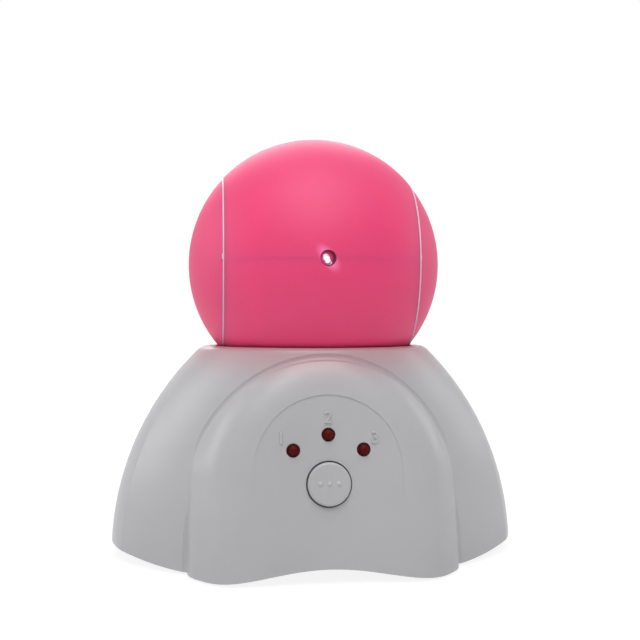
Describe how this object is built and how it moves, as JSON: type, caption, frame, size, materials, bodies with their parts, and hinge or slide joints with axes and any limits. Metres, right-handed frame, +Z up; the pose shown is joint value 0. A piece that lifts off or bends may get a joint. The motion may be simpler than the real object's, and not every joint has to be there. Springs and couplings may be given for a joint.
{
  "type": "automatic cat laser toy",
  "caption": "Cat laser toy: a ball with a tilting laser band pans on a low housing with one mode button and indicator lamps.",
  "frame": {"origin": "on the floor, on the upright axis that the ball pans about, which is the middle of the footprint", "axes": "+Z up, -Y towards the front panel with the button, +X to the right seen from the front"},
  "size_m": [0.107, 0.074, 0.1094],
  "materials": {
    "housing_white": "satin moulded ABS with a fine texture",
    "ball_pink": "satin, slightly translucent moulded ABS",
    "frame_white": "plain moulded ABS",
    "gear_nylon": "natural acetal",
    "rubber_grey": "matt rubber",
    "screw_steel": "zinc plated",
    "spring_steel": "nickel plated sheet",
    "motor_steel": "plain can",
    "shaft_steel": "ground",
    "board_green": "glass epoxy with solder mask",
    "switch_black": "moulded",
    "led_red": "dark red diffused lens",
    "laser_brass": "turned",
    "laser_lens_clear": "clear acrylic, lit",
    "cell_sleeve": "printed sleeve, left plain"
  },
  "bodies": {
    "base": {"base_shell": "housing_white", "base_plate": "housing_white", "case_screws": "screw_steel", "rubber_feet": "rubber_grey", "contact_springs": "spring_steel", "contact_plates": "spring_steel", "control_board": "board_green", "board_screws": "screw_steel", "mode_switch": "switch_black", "mechanism_deck": "frame_white", "deck_screws": "screw_steel", "pan_motor": "motor_steel", "motor_screws": "screw_steel", "gear_pin": "shaft_steel", "battery_cell_1": "cell_sleeve", "battery_cell_2": "cell_sleeve", "battery_cell_3": "cell_sleeve", "led_left": "led_red", "led_middle": "led_red", "led_right": "led_red"},
    "battery_cover": {"battery_door": "housing_white", "door_screw": "screw_steel"},
    "mode_key": {"mode_button": "housing_white"},
    "mode_plunger": {"switch_plunger": "switch_black"},
    "pan_drive": {"pan_pinion": "gear_nylon", "pan_motor_shaft": "shaft_steel"},
    "pan_reduction": {"reduction_gear": "gear_nylon"},
    "turret": {"turntable_gear": "gear_nylon", "thrust_washer": "frame_white", "washer_screws": "screw_steel", "yoke": "frame_white", "left_cheek": "frame_white", "right_cheek": "frame_white", "cheek_screws": "screw_steel", "left_cap": "ball_pink", "right_cap": "ball_pink", "tilt_motor": "motor_steel"},
    "laser_band": {"band_upper": "ball_pink", "band_lower": "ball_pink", "laser_carrier": "frame_white", "laser_barrel": "laser_brass", "laser_lens": "laser_lens_clear", "laser_board": "board_green", "band_screws": "screw_steel"},
    "tilt_drive": {"tilt_pinion": "gear_nylon", "tilt_motor_shaft": "shaft_steel"}
  },
  "joints": [
    {"name": "ball_pan", "type": "hinge", "parent": "base", "child": "turret", "pos_m": [0, 0, 0.0759], "axis": [0, 0, 1], "range_deg": [-90, 90]},
    {"name": "band_tilt", "type": "hinge", "parent": "turret", "child": "laser_band", "pos_m": [0, 0, 0.0759], "axis": [1, 0, 0], "range_deg": [-10, 20]},
    {"name": "reduction_spin", "type": "hinge", "parent": "base", "child": "pan_reduction", "pos_m": [0.02326, 0.00613, 0.036], "axis": [0, 0, 1], "range_deg": [-360, 360]},
    {"name": "pan_pinion_spin", "type": "hinge", "parent": "base", "child": "pan_drive", "pos_m": [0.037, 0, 0.035], "axis": [0, 0, 1], "range_deg": [-1440, 1440]},
    {"name": "tilt_pinion_spin", "type": "hinge", "parent": "turret", "child": "tilt_drive", "pos_m": [0.016, 0.01135, 0.06455], "axis": [1, 0, 0], "range_deg": [-60, 30]},
    {"name": "mode_button_press", "type": "slide", "parent": "base", "child": "mode_key", "axis": [0, 0.9925, -0.1219], "range_m": [0, 0.0005], "stiffness_N_per_m": 300, "springref_m": -0.001},
    {"name": "switch_plunger_travel", "type": "slide", "parent": "base", "child": "mode_plunger", "axis": [0, 0.9925, -0.1219], "range_m": [0, 0.0005]},
    {"name": "battery_door_lift", "type": "slide", "parent": "base", "child": "battery_cover", "axis": [0, 0, -1], "range_m": [0, 0.03]}
  ],
  "couplings": [
    {"joint": "reduction_spin", "follows": "ball_pan", "ratio": -4},
    {"joint": "pan_pinion_spin", "follows": "ball_pan", "ratio": 16},
    {"joint": "tilt_pinion_spin", "follows": "band_tilt", "ratio": -3},
    {"joint": "switch_plunger_travel", "follows": "mode_button_press", "ratio": 1}
  ]
}
